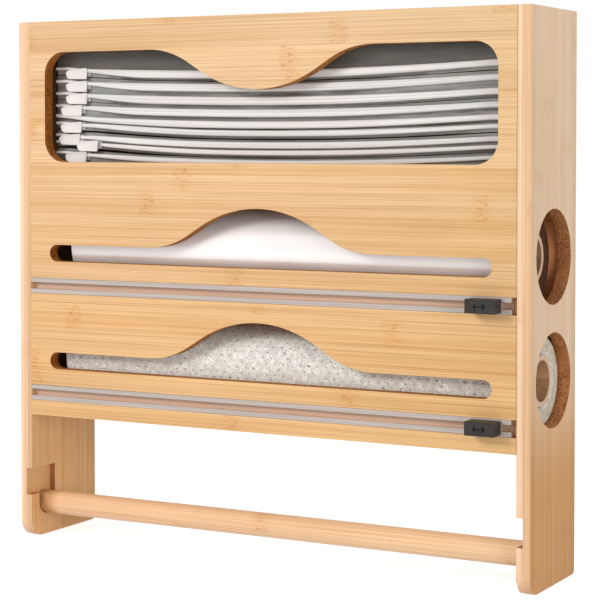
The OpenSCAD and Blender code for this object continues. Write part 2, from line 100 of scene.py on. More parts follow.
class RollHolderColours(bpy.types.PropertyGroup):
    front: colour("Front bamboo", "Tone of the front panel at its top", (0.815, 0.562, 0.334))
    front_low: colour("Front bamboo below", "Tone of the front panel at its bottom", (0.825, 0.517, 0.252))
    right_side: colour("Right side", "Main tone of the right panel", (0.78, 0.575, 0.39))
    # Darker, warmer tone at the right panel's leg: painted shade and warm bounce light.
    right_foot_shaded: colour("Right foot", "Warmer tone of the right panel at its leg", (0.60, 0.31, 0.098))
    left_side: colour("Left side", "Main tone of the left panel", (0.85, 0.57, 0.32))
    # Warmer, darker tone at the left panel's leg: painted shade and warm bounce light.
    left_foot_shaded: colour("Left foot", "Warmer tone of the left panel at its leg", (0.80, 0.475, 0.21))
    edge: colour("Edge bamboo", "Tone of the narrow edges of the side panels", (0.76, 0.485, 0.275))
    edge_lit: colour("Edge bamboo, lit", "Tone of the narrow edges at their left", (0.95, 0.67, 0.465))
    rod: colour("Rod bamboo", "Tone of the towel rod at its left", (0.94, 0.59, 0.345))
    rod_lit: colour("Rod bamboo, lit", "Tone of the towel rod at its right", (1.0, 0.69, 0.425))
    back: colour("Back bamboo", "Main tone of the back panel", (0.72, 0.45, 0.24))
    # Darker than the bamboo itself: painted shade inside the case.
    inner: colour("Inner bamboo", "Main tone of the boards inside", (0.55, 0.27, 0.12))
    fibre: colour("Fibre", "How the fibres darken the bamboo", (0.70, 0.585, 0.44))
    node_mark: colour("Node mark", "How the flecks at the nodes darken the bamboo", (0.50, 0.34, 0.22))
    # Walls cut across the grain, such as the window's left wall, take this darker tone: browned end grain
    # with painted shade.
    cut_end_shaded: colour("Cut end grain", "Browned walls cut across the fibres", (0.31, 0.10, 0.016))
    cut_long: colour("Cut long grain", "Browned walls cut along the fibres", (0.50, 0.21, 0.055))
    port_end: colour(
        "Port end grain", "Walls of the ports and pockets cut across the fibres", (0.64, 0.30, 0.125))
    port_long: colour(
        "Port long grain", "Walls of the ports and pockets cut along the fibres", (0.58, 0.245, 0.098))
    track: colour("Track", "Frosted plastic of the cutter tracks", (0.55, 0.48, 0.44))
    track_floor: colour("Track floor", "Bamboo that shows through the track's floor", (0.74, 0.485, 0.345))
    cap: colour("Cap", "Black plastic of the cutters", (0.034, 0.030, 0.028))
    film: colour("Film", "Last lap of the wound film", (0.94, 0.915, 0.91))
    # Darker and pinker than the lap: painted shade on the roll's underside, where the lap leaves the winding
    # bare.
    film_under_shaded: colour("Film under", "Wound film under the last lap", (0.90, 0.83, 0.82))
    film_end: colour("Film end", "Ends of the wound film", (0.085, 0.04, 0.024))
    wipe: colour("Wipe", "Non-woven wipes", (0.88, 0.85, 0.79))
    core: colour("Core", "Cardboard of the cores", (0.46, 0.27, 0.145))
    core_end: colour("Core end", "Cut ends of the cores", (0.66, 0.47, 0.34))
    zip_band: colour("Zip band", "Zip bands and sliders of the bags", (0.74, 0.71, 0.68))
    bag_film: colour("Bag film", "Folded film of the bags", (0.25, 0.25, 0.23))
    # A darker copy of the bag film: painted shade on the top bag's upper folds, under the top of the window.
    shaded_top_film: colour("Loose film", "Loose fold of the bag on top", (0.098, 0.090, 0.076))
    zinc: colour("Zinc", "Plated steel of screws and hangers", (0.62, 0.63, 0.64))


class RollHolderStage(bpy.types.PropertyGroup):
    lens: bpy.props.FloatProperty(
        name="Lens", description="Focal length of the camera", default=113.31, unit="CAMERA")
    key_power: bpy.props.FloatProperty(
        name="Key power", description="Power of the main lamp", default=29.0, unit="POWER")
    fill_power: bpy.props.FloatProperty(
        name="Fill power", description="Power of the lamp at the right", default=27.0, unit="POWER")
    sky: bpy.props.FloatProperty(
        name="Sky", description="Strength of the even light from all round", default=0.42, min=0.0)


def sizes():
    return bpy.context.scene.roll_holder_sizes


def colours():
    return bpy.context.scene.roll_holder_colours


# Node helpers

def new_material(name):
    """An empty material with a principled shader; gives the material, its tree and the shader."""
    material = bpy.data.materials.new(name)
    material.use_nodes = True
    tree = material.node_tree
    return material, tree, tree.nodes["Principled BSDF"]


def plug(tree, socket, value):
    """Links a socket to another, or sets its value."""
    if isinstance(value, bpy.types.NodeSocket):
        tree.links.new(value, socket)
    else:
        socket.default_value = value


def node(tree, kind, settings=None, **inputs):
    """Adds a node; inputs are given by name, with underscores for spaces."""
    made = tree.nodes.new("ShaderNode" + kind)
    for name, value in (settings or {}).items():
        setattr(made, name, value)
    for name, value in inputs.items():
        plug(tree, made.inputs[name.replace("_", " ")], value)
    return made


def maths(tree, operation, first, second=0.0):
    made = node(tree, "Math", {"operation": operation})
    plug(tree, made.inputs[0], first)
    plug(tree, made.inputs[1], second)
    return made.outputs[0]


def remap(tree, value, low, high, to_low=0.0, to_high=1.0):
    """Moves a value from one range to another, with soft ends."""
    made = node(tree, "MapRange", {"interpolation_type": "SMOOTHSTEP"}, Value=value)
    for socket, number in zip(list(made.inputs)[1:5], (low, high, to_low, to_high)):
        socket.default_value = number
    return made.outputs[0]


def blend_colour(tree, share, first, second, mode="MIX"):
    """Lays a second colour over a first one, as far as the share goes."""
    made = node(tree, "Mix", {"data_type": "RGBA", "blend_type": mode})
    plug(tree, made.inputs[0], share)
    plug(tree, made.inputs[6], first)
    plug(tree, made.inputs[7], second)
    return made.outputs[2]


def rgba(tone):
    return (*tone, 1.0)


def shade(tone, factor):
    return tuple(min(1.0, channel * factor) for channel in tone)


def place(tree):
    """The point on the piece, and its three parts."""
    point = node(tree, "TexCoord").outputs["Object"]
    return point, node(tree, "SeparateXYZ", Vector=point).outputs


def noise_at(tree, vector, scale, detail=3.0, roughness=0.55):
    return node(tree, "TexNoise", Vector=vector, Scale=scale, Detail=detail,
                Roughness=roughness).outputs[0]


def drawn_noise(tree, point, scales, detail=3.0, roughness=0.55):
    """Noise with its own scale along each axis."""
    spot = node(tree, "Mapping", Vector=point, Scale=scales).outputs[0]
    return noise_at(tree, spot, 1.0, detail, roughness)


def tinted(tree, share, face, tint):
    """Multiplies a face by a tint, as far as the share goes."""
    return blend_colour(tree, share, face, rgba(tint), "MULTIPLY")


def mottled(tree, pattern, low, high, tone, at_low, at_high):
    """A tone that gets lighter or darker as a pattern rises from low to high."""
    first, last = rgba(shade(tone, at_low)), rgba(shade(tone, at_high))
    return blend_colour(tree, remap(tree, pattern, low, high), first, last)


def shaded(tree, share, face, tone, factor):
    """Lays a shade of the tone over a face, as far as the share goes."""
    return blend_colour(tree, share, face, rgba(shade(tone, factor)))


def uneven(tree, pattern, low, high):
    """A roughness that wanders with a pattern."""
    return remap(tree, pattern, 0.3, 0.7, low, high)


def off_half(tree, share):
    """How far a share lies from one half, either way."""
    return maths(tree, "ABSOLUTE", maths(tree, "SUBTRACT", share, 0.5))


def facing(tree, axis):
    """How far the surface faces along an axis, either way."""
    normal = node(tree, "NewGeometry").outputs["Normal"]
    return maths(tree, "ABSOLUTE", node(tree, "SeparateXYZ", Vector=normal).outputs[AXES[axis]])


def dress(tree, shader, face, rough, relief, depth, strength):
    """Links a shader's colour, roughness and relief."""
    tree.links.new(face, shader.inputs["Base Color"])
    tree.links.new(rough, shader.inputs["Roughness"])
    bump = node(tree, "Bump", Height=relief, Distance=depth, Strength=strength)
    tree.links.new(bump.outputs[0], shader.inputs["Normal"])


# Tints that lie over a tone

BAND_TINT = (0.93, 0.84, 0.70)
BRIGHT_TINT = (1.12, 1.14, 1.18)
STRIP_TINT = (0.88, 0.87, 0.86)
CLOUD_TINT = (1.14, 1.16, 1.20)
NODE_TINT = (0.96, 0.83, 0.68)
PALE_FLECK_TINT = (1.1, 1.1, 1.1)
STREAK_TINT = (0.7, 0.64, 0.58)
DOT_TINT = (0.42, 0.35, 0.30)
JOINT_TINT = (0.55, 0.52, 0.48)
# Painted shade over the right part of the front panel.
RIGHT_SHADE_TINT = (0.95, 0.95, 0.90)
# Painted shadow of the left leg on the towel rod's end.
ROD_END_SHADOW_TINT = (0.66, 0.58, 0.48)
CLOTH_END_TINT = (0.86, 0.81, 0.70)
CLOTH_GRAIN_TINT = (0.62, 0.62, 0.57)
LOW_HALF_TINT = (0.74, 0.70, 0.66)

# Measures of the patterns

NODE_SCATTER = 3.7
NODE_WOBBLE = 10 * MM
NODE_INNER = 2 * MM
NODE_OUTER = 9 * MM
RINGS_PER_METRE = 4200.0
SPIRAL_PITCH = 62 * MM
HALF_BLEND = 0.4 * MM


# Materials

def bamboo(name, tone, along, across, seed=0.0, fade=None, tints=(), polish=0.0, band=0.5, marks=1.0):
    """Bamboo strips side by side, with fibres along them and flecked node marks.

    A fade gives an axis, a first and a last place on it, and the tone before the first one.
    A tint is given in the same way, and is laid over the other tones."""
    material, tree, shader = new_material(name)
    point, parts = place(tree)
    strip_place = maths(tree, "ADD", maths(tree, "DIVIDE", parts[AXES[across]], sizes().strip_width), seed)
    strip = maths(tree, "FLOOR", strip_place)
    chance = node(tree, "TexWhiteNoise", {"noise_dimensions": "1D"}, W=strip).outputs[0]
    near = maths(tree, "MULTIPLY", node_nearness(tree, point, parts[AXES[along]], chance), marks)
    fine = fibre_noise(tree, point, along, across_scale=2100.0, along_scale=6.0, detail=2.0)
    wide = fibre_noise(tree, point, along, across_scale=110.0, along_scale=2.2, roughness=0.6)
    flecks = fibre_noise(tree, point, along, across_scale=1000.0, along_scale=240.0)
    dark_flecks = maths(tree, "MULTIPLY", near, remap(tree, flecks, 0.52, 0.64))
    face = toned(tree, parts, tone, fade, tints)
    for share, tint in (
            (remap(tree, wide, 0.38, 0.70, to_high=band), BAND_TINT),
            (remap(tree, fine, 0.42, 0.68, to_high=0.62), colours().fibre),
            *thread_layers(tree, point, along),
            (maths(tree, "MULTIPLY", chance, 0.8), STRIP_TINT),
            (maths(tree, "MULTIPLY", near, 0.4), NODE_TINT),
            (pale_flecks(tree, point, along, near), PALE_FLECK_TINT),
            (maths(tree, "MULTIPLY", dark_flecks, 0.45), colours().node_mark),
            (strip_seam(tree, strip_place), colours().fibre)):
        face = tinted(tree, share, face, tint)
    shader.inputs["Specular IOR Level"].default_value = 0.42
    rough = remap(tree, wide, 0.3, 0.75, 0.44 - polish, 0.58 - polish)
    sunk_flecks = maths(tree, "MULTIPLY", dark_flecks, 1.5)
    relief = maths(tree, "SUBTRACT", maths(tree, "ADD", fine, wide), sunk_flecks)
    dress(tree, shader, face, rough, relief, depth=0.06 * MM, strength=0.5)
    return material


def fibre_noise(tree, point, along, across_scale, along_scale, detail=3.0, roughness=0.55):
    """Noise that is drawn out along the fibres."""
    scale = [across_scale] * 3
    scale[AXES[along]] = along_scale
    return drawn_noise(tree, point, scale, detail, roughness)


def thread_layers(tree, point, along):
    """Shares and tints of single dark and bright fibres, and of broad pale clouds."""
    dark = fibre_noise(tree, point, along, across_scale=1000.0, along_scale=2.6, detail=1.5)
    bright = fibre_noise(tree, point, along, across_scale=1500.0, along_scale=6.0, detail=2.0)
    cloud = noise_at(tree, point, scale=9.0, detail=2.0)
    return ((remap(tree, dark, 0.58, 0.72, to_high=0.48), colours().fibre),
            (remap(tree, bright, 0.55, 0.72, to_high=0.6), BRIGHT_TINT),
            (remap(tree, cloud, 0.35, 0.7, to_high=0.35), CLOUD_TINT))


def pale_flecks(tree, point, along, near):
    """Share of the pale flecks that lie between the dark ones at a node."""
    flecks = fibre_noise(tree, point, along, across_scale=1250.0, along_scale=330.0)
    return maths(tree, "MULTIPLY", maths(tree, "MULTIPLY", near, remap(tree, flecks, 0.55, 0.68)), 0.7)


def toned(tree, parts, tone, fade, tints):
    """A plain tone with its fade and its tints."""
    face = rgba(tone)
    if fade is not None:
        axis, first, last, first_tone = fade
        face = blend_colour(tree, remap(tree, parts[AXES[axis]], first, last), rgba(first_tone), face)
    for axis, first, last, tint in tints:
        share = remap(tree, parts[AXES[axis]], first, last, to_low=1.0, to_high=0.0)
        face = tinted(tree, share, face, tint)
    return face


def node_nearness(tree, point, run, chance):
    """1 at a bamboo node, fading to 0 around it; each strip has its nodes elsewhere."""
    spacing = sizes().node_spacing
    wobble = maths(tree, "MULTIPLY", noise_at(tree, point, scale=160.0), NODE_WOBBLE)
    shift = maths(tree, "MULTIPLY", chance, NODE_SCATTER)
    moved = maths(tree, "ADD", maths(tree, "ADD", run, wobble), shift)
    turn = maths(tree, "FRACT", maths(tree, "DIVIDE", moved, spacing))
    off_node = maths(tree, "MULTIPLY", off_half(tree, turn), spacing)
    return remap(tree, off_node, NODE_INNER, NODE_OUTER, to_low=1.0, to_high=0.0)


def strip_seam(tree, strip_place):
    """A faint line where two strips meet."""
    off_middle = off_half(tree, maths(tree, "FRACT", strip_place))
    return remap(tree, off_middle, 0.475, 0.5, to_high=0.25)


def cut_bamboo(name, end_tone, long_tone, along, dots_per_metre):
    """The browned wall of a cut opening, with dots where bundles of fibres end."""
    material, tree, shader = new_material(name)
    point, _ = place(tree)
    streak = drawn_noise(tree, point, (200.0, 200.0, 90.0), detail=4.0, roughness=0.65)
    dots = node(tree, "TexVoronoi", Vector=point, Scale=dots_per_metre).outputs[0]
    dotted = remap(tree, noise_at(tree, point, scale=55.0, detail=2.0), 0.38, 0.55, to_low=0.35)
    dark_dots = maths(tree, "MULTIPLY", dotted, remap(tree, dots, 0.22, 0.58, to_low=0.95, to_high=0.0))
    across = maths(tree, "POWER", facing(tree, along), 2.0)
    face = blend_colour(tree, across, rgba(long_tone), rgba(end_tone))
    face = tinted(tree, remap(tree, streak, 0.35, 0.68, to_low=0.8, to_high=0.0), face, STREAK_TINT)
    face = tinted(tree, dark_dots, face, DOT_TINT)
    shader.inputs["Specular IOR Level"].default_value = 0.15
    relief = maths(tree, "ADD", streak, dots)
    dress(tree, shader, face, uneven(tree, streak, 0.6, 0.8), relief, depth=0.08 * MM, strength=0.6)
    return material


def moulded(name, tone, grain, rough, subtle=0.12, specular=0.5):
    """Moulded plastic with a fine eroded grain and slightly uneven gloss."""
    material, tree, shader = new_material(name)
    point, _ = place(tree)
    fine = noise_at(tree, point, scale=grain)
    broad = noise_at(tree, point, scale=grain * 0.04, detail=2.0)
    face = mottled(tree, broad, 0.3, 0.7, tone, 1 - subtle, 1 + subtle)
    shader.inputs["Specular IOR Level"].default_value = specular
    dress(tree, shader, face, uneven(tree, fine, rough - 0.07, rough + 0.07), fine, depth=0.03 * MM,
          strength=0.6)
    return material


def plied(name, tone, rough):
    """White zip plastic with faint lines along it, where its plies lie on each other."""
    material, tree, shader = new_material(name)
    _, parts = place(tree)
    ply = node(tree, "Attribute", {"attribute_name": "ply"}).outputs["Fac"]
    along = maths(tree, "MULTIPLY", parts[0], 4.0)
    across = maths(tree, "MULTIPLY", ply, 4.6)
    bag = maths(tree, "MULTIPLY", parts[2], 150.0)
    spot = node(tree, "CombineXYZ", X=along, Y=across, Z=bag).outputs[0]
    lines = noise_at(tree, spot, scale=1.0, detail=2.0)
    face = mottled(tree, lines, 0.40, 0.62, tone, 1.06, 0.86)
    dress(tree, shader, face, uneven(tree, lines, rough - 0.07, rough + 0.07), lines, depth=0.1 * MM,
          strength=0.25)
    return material


def frosted(name, tone, clear):
    """Frosted see-through plastic with drawn lines along its length."""
    material, tree, shader = new_material(name)
    point, _ = place(tree)
    lines = drawn_noise(tree, point, (12.0, 1800.0, 1800.0), detail=2.0)
    face = mottled(tree, lines, 0.35, 0.7, tone, 0.90, 1.10)
    shader.inputs["Transmission Weight"].default_value = clear
    shader.inputs["IOR"].default_value = 1.46
    dress(tree, shader, face, uneven(tree, lines, 0.20, 0.34), lines, depth=0.02 * MM, strength=0.4)
    return material


def steel(name, tone, rough):
    """Zinc-plated steel with fine drawn scratches and cloudy gloss."""
    material, tree, shader = new_material(name)
    point, _ = place(tree)
    scratch = drawn_noise(tree, point, (60.0, 2400.0, 2400.0))
    cloud = noise_at(tree, point, scale=160.0)
    face = mottled(tree, cloud, 0.3, 0.7, tone, 0.84, 1.0)
    shader.inputs["Metallic"].default_value = 1.0
    dress(tree, shader, face, uneven(tree, scratch, rough - 0.08, rough + 0.10), scratch, depth=0.015 * MM,
          strength=0.5)
    return material


def wound_film(name, tone, axis, rough, mirror):
    """Film on its roll, which mirrors the room: stretch lines round it and fine rings on its ends."""
    material, tree, shader = new_material(name)
    point, parts = place(tree)

    def squared(part, centre):
        return maths(tree, "POWER", maths(tree, "SUBTRACT", part, centre), 2.0)

    radius = maths(tree, "SQRT", maths(tree, "ADD", squared(parts[1], axis.y), squared(parts[2], axis.z)))
    ring = node(tree, "CombineXYZ", X=maths(tree, "MULTIPLY", radius, RINGS_PER_METRE)).outputs[0]
    rings = noise_at(tree, ring, scale=1.0, detail=2.0)
    drawn = drawn_noise(tree, point, (16.0, 50.0, 50.0), detail=1.0)
    face = mottled(tree, drawn, 0.35, 0.7, tone, 0.97, 1.03)
    face = shaded(tree, remap(tree, rings, 0.45, 0.75, to_high=0.15), face, tone, 0.8)
    shader.inputs["Metallic"].default_value = mirror
    shader.inputs["Specular IOR Level"].default_value = mirror
    dress(tree, shader, face, uneven(tree, drawn, rough - 0.05, rough + 0.05), drawn, depth=0.4 * MM,
          strength=0.12)
    return material


def fleece(name, tone):
    """Soft non-woven cloth: cloudy fibres, darker pits where it is embossed, and grainy ends."""
    material, tree, shader = new_material(name)
    point, _ = place(tree)
    pit = node(tree, "Attribute", {"attribute_name": "pit"}).outputs["Fac"]
    fibres = drawn_noise(tree, point, (900.0, 1300.0, 1300.0), detail=5.0, roughness=0.7)
    tufts = noise_at(tree, point, scale=260.0)
    face = mottled(tree, tufts, 0.35, 0.7, tone, 0.84, 1.16)
    face = shaded(tree, remap(tree, fibres, 0.44, 0.64, to_high=0.9), face, tone, 0.56)
    face = shaded(tree, remap(tree, pit, 0.44, 0.94, to_high=0.85), face, tone, 0.22)
    end = remap(tree, facing(tree, "X"), 0.7, 0.9)
    grain = remap(tree, noise_at(tree, point, scale=620.0, detail=2.0), 0.42, 0.62, to_high=0.6)
    face = tinted(tree, end, face, CLOTH_END_TINT)
    face = tinted(tree, maths(tree, "MULTIPLY", end, grain), face, CLOTH_GRAIN_TINT)
    shader.inputs["Sheen Weight"].default_value = 0.25
    relief = maths(tree, "ADD", fibres, tufts)
    dress(tree, shader, face, uneven(tree, fibres, 0.80, 0.95), relief, depth=0.25 * MM, strength=0.7)
    return material


def cardboard(name, tone, end_tone, axis):
    """Spirally wound grey-brown cardboard with a seam along the spiral."""
    material, tree, shader = new_material(name)
    point, parts = place(tree)
    rise = maths(tree, "SUBTRACT", parts[2], axis.z)
    angle = maths(tree, "ARCTAN2", rise, maths(tree, "SUBTRACT", parts[1], axis.y))
    turn = maths(tree, "DIVIDE", angle, FULL_TURN)
    spiral = maths(tree, "ADD", turn, maths(tree, "DIVIDE", parts[0], SPIRAL_PITCH))
    off_seam = off_half(tree, maths(tree, "FRACT", spiral))
    seam = remap(tree, off_seam, 0.0, 0.02, to_low=0.7, to_high=0.0)
    flecks = noise_at(tree, point, scale=560.0, detail=4.0, roughness=0.7)
    cloud = noise_at(tree, point, scale=70.0)
    low_half = remap(tree, rise, -HALF_BLEND, HALF_BLEND, to_low=0.9, to_high=0.0)
    face = mottled(tree, cloud, 0.3, 0.7, tone, 0.86, 1.14)
    face = shaded(tree, remap(tree, flecks, 0.46, 0.66, to_high=0.55), face, tone, 0.55)
    face = shaded(tree, seam, face, tone, 0.45)
    face = tinted(tree, low_half, face, LOW_HALF_TINT)
    face = blend_colour(tree, remap(tree, facing(tree, "X"), 0.7, 0.9), face, rgba(end_tone))
    relief = maths(tree, "SUBTRACT", flecks, seam)
    dress(tree, shader, face, uneven(tree, flecks, 0.75, 0.9), relief, depth=0.08 * MM, strength=0.5)
    return material


def crumpled_film(name, tone):
    """Thin grey bag film with soft creases along its folds."""
    material, tree, shader = new_material(name)
    point, _ = place(tree)
    creases = drawn_noise(tree, point, (40.0, 180.0, 260.0), detail=4.0, roughness=0.6)
    face = mottled(tree, creases, 0.35, 0.7, tone, 0.86, 1.18)
    dress(tree, shader, face, uneven(tree, creases, 0.28, 0.5), creases, depth=0.6 * MM, strength=0.25)
    return material


# Mesh helpers

MERGE_GAP = 0.002 * MM
FLAT_ANGLE = math.radians(0.5)
SHARP_ANGLE = math.radians(35)
STRAIGHT = 0.9999
WALL_SLOPE = 0.3
EDGE_SLOPE = 0.6
EDGE_REACH = 4 * MM
INWARD_SLOPE = 0.9
OPENING_WALL, OUTER_EDGE, INWARD_FACE = 1, 2, 3
CORE_PLAY = 0.08 * MM


def to_object(name, bm):
    """Turns a bmesh into an object of the scene."""
    mesh = bpy.data.meshes.new(name)
    bm.to_mesh(mesh)
    bm.free()
    made = bpy.data.objects.new(name, mesh)
    bpy.context.scene.collection.objects.link(made)
    return made


def finish_piece(name, bm, materials, body, replaced, smooth_angle=None):
    """Turns a bmesh into a piece that rides on a body and stands for CAD nodes."""
    piece = to_object(name, bm)
    for material in materials:
        piece.data.materials.append(material)
    if smooth_angle is not None:
        piece.data.shade_smooth()
        piece.data.set_sharp_from_angle(angle=smooth_angle)
    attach(piece, body)
    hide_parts(*replaced)
    return piece


def refinish(name, material):
    """Gives a CAD node a finished material."""
    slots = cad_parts[name].data.materials
    slots.clear()
    slots.append(material)


def round_edges(bm, edges, radius, segments, clamp=False):
    bmesh.ops.bevel(bm, geom=edges, offset=radius, offset_type="OFFSET", segments=segments, profile=0.5,
                    affect="EDGES", clamp_overlap=clamp, material=-1)


def softened(name, radius, segments=3):
    """A merged copy of a CAD node whose sharp outer edges are rounded."""
    bm = bmesh.new()
    bm.from_mesh(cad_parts[name].data)
    bmesh.ops.remove_doubles(bm, verts=bm.verts, dist=MERGE_GAP)
    bmesh.ops.dissolve_limit(bm, angle_limit=FLAT_ANGLE, verts=bm.verts, edges=bm.edges)
    sharp = [edge for edge in bm.edges
             if len(edge.link_faces) == 2 and edge.is_convex and edge.calc_face_angle() > SHARP_ANGLE]
    round_edges(bm, sharp, radius, segments, clamp=True)
    for face in bm.faces:
        face.smooth = max(abs(part) for part in face.normal) < STRAIGHT
    return bm


def sort_faces(bm, lo, hi, thickness_axis):
    """Board faces keep the first material, walls of openings get the second, outer edges the third."""
    thick = AXES[thickness_axis]
    for face in bm.faces:
        centre = face.calc_center_median()
        inside = min(min(centre[i] - lo[i], hi[i] - centre[i]) for i in range(3) if i != thick)
        slope = abs(face.normal[thick])
        if slope < WALL_SLOPE and inside > EDGE_REACH:
            face.material_index = OPENING_WALL
        elif slope < EDGE_SLOPE and inside <= EDGE_REACH:
            face.material_index = OUTER_EDGE


def lathe(profile, axis, steps):
    """Turns a closed outline of (along, radius) points round a line along X."""
    bm = bmesh.new()
    corners = [bm.verts.new((along, axis.y - radius, axis.z)) for along, radius in profile]
    edges = [bm.edges.new((first, second)) for first, second in zip(corners, corners[1:] + corners[:1])]
    bmesh.ops.spin(bm, geom=corners + edges, cent=axis, axis=(1, 0, 0), angle=FULL_TURN, steps=steps,
                   use_merge=True)
    bmesh.ops.remove_doubles(bm, verts=bm.verts, dist=MERGE_GAP)
    bmesh.ops.recalc_face_normals(bm, faces=bm.faces)
    return bm


def tube_blank(sides, rings):
    """A closed round bar of unit size along X, from 0 to 1, cut into rings."""
    bm = bmesh.new()
    lie = Matrix.Translation((0.5, 0, 0)) @ Matrix.Rotation(math.pi / 2, 4, "Y")
    bmesh.ops.create_cone(bm, cap_ends=True, segments=sides, radius1=1, radius2=1, depth=1, matrix=lie)
    long_edges = [edge for edge in bm.edges if abs(edge.verts[0].co.x - edge.verts[1].co.x) > 0.5]
    bmesh.ops.subdivide_edges(bm, edges=long_edges, cuts=rings - 1, use_grid_fill=True)
    return bm


def middle(name):
    lo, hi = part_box(name)
    return (lo + hi) / 2


def half_height(name):
    lo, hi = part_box(name)
    return (hi.z - lo.z) / 2


def smooth_step(value, low, high):
    share = min(1.0, max(0.0, (value - low) / (high - low)))
    return share * share * (3 - 2 * share)


# Operators

class ROLLHOLDER_OT_stage(bpy.types.Operator):
    """Sets up the camera, the lamps and the pale floor"""
    bl_idname = "roll_holder.stage"
    bl_label = "Stage"

    camera_spot = (0.5765, -1.0799, -0.0328)
    camera_turn = (math.radians(90 - 1.91), 0, math.radians(28.48))
    lens_shift = -0.16
    sensor_width = 36.0
    key_spot = (-1.0, -1.85, 0.85)
    key_size = 0.75
    fill_spot = (2.0, -0.95, -0.05)
    fill_size = 1.2
    lit_spot = Vector((0, -0.04, -0.12))
    sky_tone = (1.0, 0.985, 0.965)
    floor_tone = (0.8, 0.8, 0.8)
    floor_rough = 0.9
    floor_glow = 0.74
    floor_reach = 8.0
    floor_gap = 0.5 * MM

    def execute(self, context):
        settings = context.scene.roll_holder_stage
        context.scene.view_settings.view_transform = "Standard"
        self.camera(context, settings.lens)
        self.lamp(context, "key_lamp", self.key_spot, self.key_size, settings.key_power)
        self.lamp(context, "fill_lamp", self.fill_spot, self.fill_size, settings.fill_power)
        self.sky(context, settings.sky)
        self.floor()
        return {"FINISHED"}

    def camera(self, context, lens):
        camera = bpy.data.objects.new("camera", bpy.data.cameras.new("camera"))
        context.scene.collection.objects.link(camera)
        camera.data.sensor_width = self.sensor_width
        camera.data.lens = lens
        camera.data.shift_y = self.lens_shift
        camera.location = self.camera_spot
        camera.rotation_euler = self.camera_turn
        context.scene.camera = camera

    def lamp(self, context, name, spot, size, power):
        lamp = bpy.data.objects.new(name, bpy.data.lights.new(name, "AREA"))
        context.scene.collection.objects.link(lamp)
        lamp.data.size = size
        lamp.data.energy = power
        lamp.location = spot
        lamp.visible_glossy = False
        aim = self.lit_spot - Vector(spot)
        lamp.rotation_euler = aim.to_track_quat("-Z", "Y").to_euler()

    def background_rays(self, tree):
        """1 for rays that should see a plain white background."""
        path = node(tree, "LightPath").outputs
        seen = maths(tree, "MAXIMUM", path["Is Camera Ray"], path["Is Glossy Ray"])
        return maths(tree, "MAXIMUM", seen, path["Is Transmission Ray"])

    def sky(self, context, strength):
        """Even light from all round, and a white background."""
        world = bpy.data.worlds.new("studio")
        context.scene.world = world
        world.use_nodes = True
        tree = world.node_tree
        light = tree.nodes["Background"]
        light.inputs["Color"].default_value = rgba(self.sky_tone)
        light.inputs["Strength"].default_value = strength
        white = node(tree, "Background", Color=rgba(WHITE), Strength=1.0)
        mix = node(tree, "MixShader", Fac=self.background_rays(tree))
        tree.links.new(light.outputs[0], mix.inputs[1])
        tree.links.new(white.outputs[0], mix.inputs[2])
        tree.links.new(mix.outputs[0], tree.nodes["World Output"].inputs["Surface"])

    def floor(self):
        """A pale floor just below the holder that takes its shadow."""
        bm = bmesh.new()
        bmesh.ops.create_grid(bm, x_segments=1, y_segments=1, size=self.floor_reach)
        bmesh.ops.translate(bm, verts=bm.verts, vec=(0, 0, CAD_BOX[0].z - self.floor_gap))
        floor = to_object("floor", bm)
        material, tree, shader = new_material("pale_floor")
        shader.inputs["Base Color"].default_value = rgba(self.floor_tone)
        shader.inputs["Roughness"].default_value = self.floor_rough
        shader.inputs["Specular IOR Level"].default_value = 0.0
        shader.inputs["Emission Color"].default_value = rgba(WHITE)
        glow = maths(tree, "MULTIPLY", self.background_rays(tree), self.floor_glow)
        tree.links.new(glow, shader.inputs["Emission Strength"])
        floor.data.materials.append(material)


